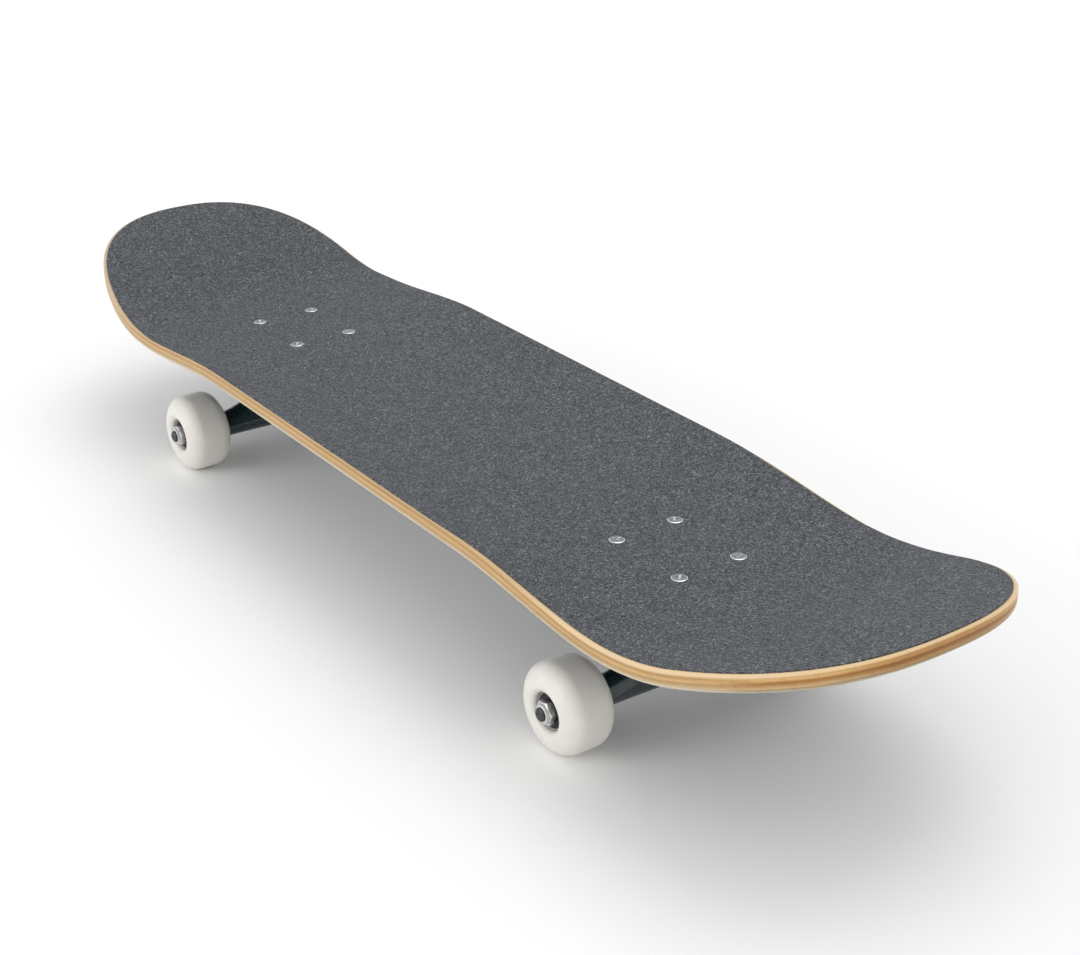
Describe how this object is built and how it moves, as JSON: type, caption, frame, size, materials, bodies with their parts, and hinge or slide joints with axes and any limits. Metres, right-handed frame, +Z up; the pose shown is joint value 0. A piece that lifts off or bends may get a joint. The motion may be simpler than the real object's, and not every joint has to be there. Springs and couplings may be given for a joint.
{
  "type": "skateboard",
  "caption": "Complete street skateboard: concave double-kick maple deck with griptape, kingpin trucks that steer as the board leans, and urethane wheels on ball bearings.",
  "frame": {"origin": "on the floor, below the middle of the board", "axes": "+X towards the nose, +Y to the board's left, +Z up"},
  "size_m": [0.813, 0.203, 0.1306],
  "materials": {
    "maple": "clear-sealed seven-ply maple, light and tan veneers at the edge",
    "griptape": "coarse dark grit sheet, fully matt",
    "bolt_steel": "bright zinc plated steel",
    "baseplate_paint": "near-black coated cast aluminium",
    "hanger_paint": "near-black, faintly blue-green, semi-gloss coated cast aluminium",
    "truck_steel": "zinc plated steel",
    "bushing_urethane": "black cast urethane",
    "cup_urethane": "black urethane",
    "axle_steel": "dark oiled steel",
    "wheel_urethane": "off-white cast urethane, satin",
    "bearing_steel": "steel races with black shields",
    "spacer_aluminium": "turned aluminium"
  },
  "bodies": {
    "board": {"deck": "maple", "grip_tape": "griptape", "nose_mounting_bolt_1": "bolt_steel", "nose_mounting_nut_1": "bolt_steel", "nose_mounting_bolt_2": "bolt_steel", "nose_mounting_nut_2": "bolt_steel", "nose_mounting_bolt_3": "bolt_steel", "nose_mounting_nut_3": "bolt_steel", "nose_mounting_bolt_4": "bolt_steel", "nose_mounting_nut_4": "bolt_steel", "nose_baseplate": "baseplate_paint", "nose_pivot_cup": "cup_urethane", "nose_kingpin": "truck_steel", "nose_kingpin_nut": "truck_steel", "nose_boardside_washer": "truck_steel", "nose_boardside_bushing": "bushing_urethane", "nose_roadside_bushing": "bushing_urethane", "nose_roadside_washer": "truck_steel", "tail_mounting_bolt_1": "bolt_steel", "tail_mounting_nut_1": "bolt_steel", "tail_mounting_bolt_2": "bolt_steel", "tail_mounting_nut_2": "bolt_steel", "tail_mounting_bolt_3": "bolt_steel", "tail_mounting_nut_3": "bolt_steel", "tail_mounting_bolt_4": "bolt_steel", "tail_mounting_nut_4": "bolt_steel", "tail_baseplate": "baseplate_paint", "tail_pivot_cup": "cup_urethane", "tail_kingpin": "truck_steel", "tail_kingpin_nut": "truck_steel", "tail_boardside_washer": "truck_steel", "tail_boardside_bushing": "bushing_urethane", "tail_roadside_bushing": "bushing_urethane", "tail_roadside_washer": "truck_steel"},
    "nose_hanger_body": {"nose_hanger": "hanger_paint", "nose_axle": "axle_steel", "nose_left_bearing_spacer": "spacer_aluminium", "nose_left_axle_nut": "truck_steel", "nose_right_bearing_spacer": "spacer_aluminium", "nose_right_axle_nut": "truck_steel"},
    "nose_left_wheel_body": {"nose_left_wheel": "wheel_urethane", "nose_left_inner_bearing": "bearing_steel", "nose_left_outer_bearing": "bearing_steel"},
    "nose_right_wheel_body": {"nose_right_wheel": "wheel_urethane", "nose_right_inner_bearing": "bearing_steel", "nose_right_outer_bearing": "bearing_steel"},
    "tail_hanger_body": {"tail_hanger": "hanger_paint", "tail_axle": "axle_steel", "tail_left_bearing_spacer": "spacer_aluminium", "tail_left_axle_nut": "truck_steel", "tail_right_bearing_spacer": "spacer_aluminium", "tail_right_axle_nut": "truck_steel"},
    "tail_left_wheel_body": {"tail_left_wheel": "wheel_urethane", "tail_left_inner_bearing": "bearing_steel", "tail_left_outer_bearing": "bearing_steel"},
    "tail_right_wheel_body": {"tail_right_wheel": "wheel_urethane", "tail_right_inner_bearing": "bearing_steel", "tail_right_outer_bearing": "bearing_steel"}
  },
  "joints": [
    {"name": "nose_steering", "type": "hinge", "parent": "board", "child": "nose_hanger_body", "pos_m": [0.198, 0, 0.043], "axis": [0.89, 0, 0.4559], "range_deg": [-12, 12], "stiffness_Nm_per_rad": 60, "deforming": ["nose_boardside_bushing", "nose_roadside_bushing"]},
    {"name": "nose_left_wheel_spin", "type": "hinge", "parent": "nose_hanger_body", "child": "nose_left_wheel_body", "pos_m": [0.22, 0.0822, 0.0265], "axis": [0, 1, 0], "continuous": true},
    {"name": "nose_right_wheel_spin", "type": "hinge", "parent": "nose_hanger_body", "child": "nose_right_wheel_body", "pos_m": [0.22, -0.0822, 0.0265], "axis": [0, 1, 0], "continuous": true},
    {"name": "tail_steering", "type": "hinge", "parent": "board", "child": "tail_hanger_body", "pos_m": [-0.198, 0, 0.043], "axis": [0.89, 0, -0.4559], "range_deg": [-12, 12], "stiffness_Nm_per_rad": 60, "deforming": ["tail_boardside_bushing", "tail_roadside_bushing"]},
    {"name": "tail_left_wheel_spin", "type": "hinge", "parent": "tail_hanger_body", "child": "tail_left_wheel_body", "pos_m": [-0.22, 0.0822, 0.0265], "axis": [0, 1, 0], "continuous": true},
    {"name": "tail_right_wheel_spin", "type": "hinge", "parent": "tail_hanger_body", "child": "tail_right_wheel_body", "pos_m": [-0.22, -0.0822, 0.0265], "axis": [0, 1, 0], "continuous": true}
  ]
}
